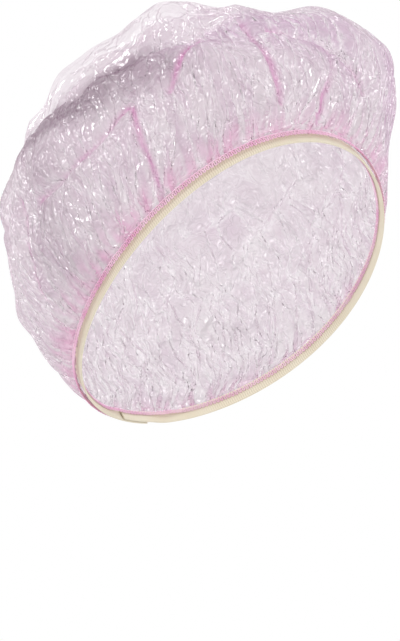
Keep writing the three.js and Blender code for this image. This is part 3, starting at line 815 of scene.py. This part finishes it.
let_through = add_node(tree, "ShaderNodeMath", {"operation": "SUBTRACT", 0: 1.0}, {1: (lighting, 0)})
scattered = add_node(tree, "ShaderNodeMath", {"operation": "MULTIPLY"},
                     {0: (haze_share, 0), 1: (let_through, 0)})
body = add_node(tree, "ShaderNodeMixShader", None, {0: (scattered, 0), 1: (clear, 0), 2: (haze, 0)})
# Both faces of the film mirror, so its gloss is stronger than one face's, but it stays see-through.
GLOSS_MOST = 0.2
gloss = add_node(tree, "ShaderNodeBsdfGlossy", {"Color": WHITE, "Roughness": 0.09}, {"Normal": (bump, 0)})
mirror = add_node(tree, "ShaderNodeFresnel", {"IOR": 1.75}, {"Normal": (bump, 0)})
mirror_most = add_node(tree, "ShaderNodeMath", {"operation": "MINIMUM", 1: GLOSS_MOST}, {0: (mirror, 0)})
mirrored = add_node(tree, "ShaderNodeMath", {"operation": "MULTIPLY"},
                    {0: (mirror_most, 0), 1: (let_through, 0)})
whole = add_node(tree, "ShaderNodeMixShader", None, {0: (mirrored, 0), 1: (body, 0), 2: (gloss, 0)})
add_node(tree, "ShaderNodeOutputMaterial", None, {"Surface": (whole, 0)})
film.data.materials.append(film_finish)
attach(film, "root")
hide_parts("crown_film")

# Overlock seam: three textured polyester threads, pink. The needle thread makes a row of short
# stitches on the outside, and a looper thread on each side goes up and down over the film's edge.
STITCH = 2.25
THREAD_RADIUS = 0.31
POINTS_PER_STITCH = 10
STITCH_PLAY = 0.12
NEEDLE_INSET = 1.3
NEEDLE_HEIGHT = TAPE_WIDTH - NEEDLE_INSET
NEEDLE_PROUD, NEEDLE_DIP, DIP_SHARPNESS = 0.12, 0.3, 6
LOOPER_WIDTH, LOOPER_SWAY, LOOPER_PROUD = 2.3, 0.3, 0.35
UPPER_DROP = 2.2 * THREAD_RADIUS
INSIDE_GAP = 0.15
FUZZ_SIZE, BLOTCH_SIZE = 0.0007, 0.016
FILM_FACE = SEWN_CLEARANCE + 2 * HEM_PLAY
stitches = round(LOOP_LENGTH / STITCH)
seam_phase = np.arange(stitches * POINTS_PER_STITCH) / POINTS_PER_STITCH
seam_length = seam_phase / stitches * LOOP_LENGTH
stitch_turn = 2 * math.pi * seam_phase
stitch_play = np.interp(seam_phase, np.arange(stitches + 1), rng.uniform(-1, 1, stitches + 1))


def sewn_thread(name, length, outward, height, colour, shade, node):
    """One thread that runs all round the loop, as a round tube along its stitches."""
    route = placed(loop_points(angle_at(length), outward, height))
    data = bpy.data.curves.new(name, "CURVE")
    data.dimensions = "3D"
    data.bevel_depth = THREAD_RADIUS / MM_PER_M
    data.bevel_resolution = 1
    spline = data.splines.new("POLY")
    spline.points.add(len(route) - 1)
    spline.points.foreach_set("co", np.hstack([route, np.ones((len(route), 1))]).ravel())
    spline.use_cyclic_u = True
    thread = bpy.data.objects.new(name, data)
    bpy.context.collection.objects.link(thread)
    bpy.ops.object.select_all(action="DESELECT")
    thread.select_set(True)
    bpy.context.view_layer.objects.active = thread
    bpy.ops.object.convert(target="MESH")
    bpy.ops.object.shade_smooth()
    thread.data.materials.clear()
    # Textured polyester yarn: fuzzy and soft, dyed unevenly, and paler in blotches.
    finish, tree = new_material("textured_polyester_" + name)
    coords = add_node(tree, "ShaderNodeTexCoord")
    fuzz = add_node(tree, "ShaderNodeTexNoise", {"Scale": 1 / FUZZ_SIZE, "Detail": 2.0},
                    {"Vector": (coords, "Object")})
    blotch = add_node(tree, "ShaderNodeTexNoise", {"Scale": 1 / BLOTCH_SIZE, "Detail": 2.0},
                      {"Vector": (coords, "Object")})
    faded = add_node(tree, "ShaderNodeMapRange", {"From Min": 0.38, "From Max": 0.6}, {"Value": (blotch, 0)})
    yarn_dye = add_node(tree, "ShaderNodeMix",
                        {"data_type": "RGBA", COLOUR_A: linear(shade), COLOUR_B: linear(colour)},
                        {0: (fuzz, 0)})
    dye = add_node(tree, "ShaderNodeMix", {"data_type": "RGBA", COLOUR_B: linear("#e8c2d7")},
                   {0: (faded, 0), COLOUR_A: (yarn_dye, COLOUR_OUT)})
    ply = add_node(tree, "ShaderNodeBump", {"Strength": 0.8, "Distance": 0.0002}, {"Height": (fuzz, 0)})
    yarn = add_node(tree, "ShaderNodeBsdfPrincipled",
                    {"Roughness": 0.7, "Sheen Weight": 0.4, "Sheen Roughness": 0.4, "IOR": 1.5},
                    {"Base Color": (dye, COLOUR_OUT), "Normal": (ply, 0)})
    add_node(tree, "ShaderNodeOutputMaterial", None, {"Surface": (yarn, 0)})
    thread.data.materials.append(finish)
    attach(thread, "root")
    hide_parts(node)


outside = FILM_FACE + THREAD_RADIUS
needle_dip = NEEDLE_DIP * np.abs(np.cos(stitch_turn / 2)) ** DIP_SHARPNESS
sewn_thread("needle_stitches", seam_length, outside + NEEDLE_PROUD - needle_dip,
            NEEDLE_HEIGHT + STITCH_PLAY * stitch_play, "#ecc4dc", "#dc9fc5", "needle_thread")
looper_rise = 0.5 + 0.5 * np.cos(stitch_turn)
looper_drop = LOOPER_WIDTH * (1 - looper_rise) * (1 + STITCH_PLAY * stitch_play)
looper_length = seam_length + LOOPER_SWAY * np.sin(2 * stitch_turn)
sewn_thread("upper_looper_stitches", looper_length, outside + LOOPER_PROUD * np.sin(stitch_turn / 2) ** 2,
            NEEDLE_HEIGHT - UPPER_DROP - looper_drop, "#e5b0cf", "#d385b2", "upper_looper_thread")
lap_begin = smooth_step(LOOP_LENGTH - 2 * TAPE_LAP_RAMP, LOOP_LENGTH - TAPE_LAP_RAMP, seam_length)
lap_end = 1 - smooth_step(TAPE_LAP, TAPE_LAP + TAPE_LAP_RAMP, seam_length)
inside = -(TAPE_THICKNESS + RIB_RELIEF + THREAD_RADIUS) - lap_step * np.maximum(lap_begin, lap_end)
sewn_thread("lower_looper_stitches", looper_length, inside - INSIDE_GAP,
            NEEDLE_HEIGHT - looper_drop, "#e8bcd6", "#d796bd", "lower_looper_thread")

# Studio: a plain matt white floor well below the worn cap, a white surround and five soft lamps.
FLOOR_DROP = 0.45
FLOOR_SIZE = 2.4
bpy.ops.object.select_all(action="DESELECT")
bpy.ops.mesh.primitive_plane_add(size=FLOOR_SIZE, location=(0, 0, -FLOOR_DROP))
floor = bpy.context.object
floor.name = "studio_floor"
board, tree = new_material("matt_white_board")
paint = add_node(tree, "ShaderNodeBsdfDiffuse", {"Color": linear("#f4f4f4")})
add_node(tree, "ShaderNodeOutputMaterial", None, {"Surface": (paint, 0)})
floor.data.materials.append(board)

SURROUND_LIGHT = 0.7
world = bpy.data.worlds.new("white_studio")
bpy.context.scene.world = world
world.use_nodes = True
tree = world.node_tree
tree.nodes.clear()
path = add_node(tree, "ShaderNodeLightPath")
surround = add_node(tree, "ShaderNodeBackground", {"Color": WHITE, "Strength": SURROUND_LIGHT})
white = add_node(tree, "ShaderNodeBackground", {"Color": WHITE, "Strength": 1.0})
seen = add_node(tree, "ShaderNodeMath", {"operation": "MAXIMUM"},
                {0: (path, "Is Camera Ray"), 1: (path, "Is Transmission Ray")})
shown = add_node(tree, "ShaderNodeMath", {"operation": "MAXIMUM"},
                 {0: (seen, 0), 1: (path, "Is Glossy Ray")})
pick = add_node(tree, "ShaderNodeMixShader", None, {0: (shown, 0), 1: (surround, 0), 2: (white, 0)})
add_node(tree, "ShaderNodeOutputWorld", None, {"Surface": (pick, 0)})

# Camera: a little below the cap's middle, in front and to its right side as worn, as in the photograph.
CAMERA_AZIMUTH, CAMERA_ELEVATION = math.radians(-38), math.radians(-3)
CAMERA_DISTANCE = 1.6
PIXELS_PER_MM = 1.909
IMAGE = (400, 641)
ORIGIN_PIXEL = (232.9, 292.1)
SENSOR_WIDTH = 36
pixels_per_m = PIXELS_PER_MM * MM_PER_M
back = Vector((math.sin(CAMERA_AZIMUTH) * math.cos(CAMERA_ELEVATION),
               -math.cos(CAMERA_AZIMUTH) * math.cos(CAMERA_ELEVATION), math.sin(CAMERA_ELEVATION)))
right = Vector((math.cos(CAMERA_AZIMUTH), math.sin(CAMERA_AZIMUTH), 0))
up = back.cross(right)
aim = (right * (IMAGE[0] / 2 - ORIGIN_PIXEL[0]) - up * (IMAGE[1] / 2 - ORIGIN_PIXEL[1])) / pixels_per_m
lens = bpy.data.cameras.new("photo_camera")
camera = bpy.data.objects.new("photo_camera", lens)
bpy.context.collection.objects.link(camera)
camera.location = aim + back * CAMERA_DISTANCE
camera.rotation_euler = back.to_track_quat("Z", "Y").to_euler()
lens.sensor_width = SENSOR_WIDTH
lens.lens = pixels_per_m * CAMERA_DISTANCE * SENSOR_WIDTH / IMAGE[1]

# Soft boxes in front, above and behind: name, place in metres, width and height, and watts.
LAMPS = (
    ("key_softbox", back * 0.9 - right * 0.9 + Vector((0, 0, 0.7)), (0.34, 0.5), 6.5),
    ("fill_softbox", back * 0.8 + right * 1.0 + Vector((0, 0, 0.3)), (0.28, 0.44), 4),
    ("top_softbox", Vector((0, 0, 1.3)), (0.4, 0.4), 3.5),
    ("left_strip", right * -1.2 - back * 0.6 + Vector((0, 0, 0.4)), (0.22, 0.6), 3),
    ("right_strip", right * 1.2 - back * 0.6 + Vector((0, 0, 0.4)), (0.22, 0.6), 3),
)
LAMP_AIM = Vector((0, 0, 0.03))
for name, place, size, power in LAMPS:
    data = bpy.data.lights.new(name, "AREA")
    data.shape = "RECTANGLE"
    data.size, data.size_y = size
    data.energy = power
    lamp = bpy.data.objects.new(name, data)
    bpy.context.collection.objects.link(lamp)
    lamp.location = place
    lamp.rotation_euler = (LAMP_AIM - place).to_track_quat("-Z", "Y").to_euler()

scene = bpy.context.scene
scene.camera = camera
scene.view_settings.view_transform = "Standard"
# The line of sight crosses the film's folds many times.
scene.cycles.transparent_max_bounces = 64
scene.cycles.max_bounces = 24
scene.cycles.glossy_bounces = 12
scene.cycles.diffuse_bounces = 6
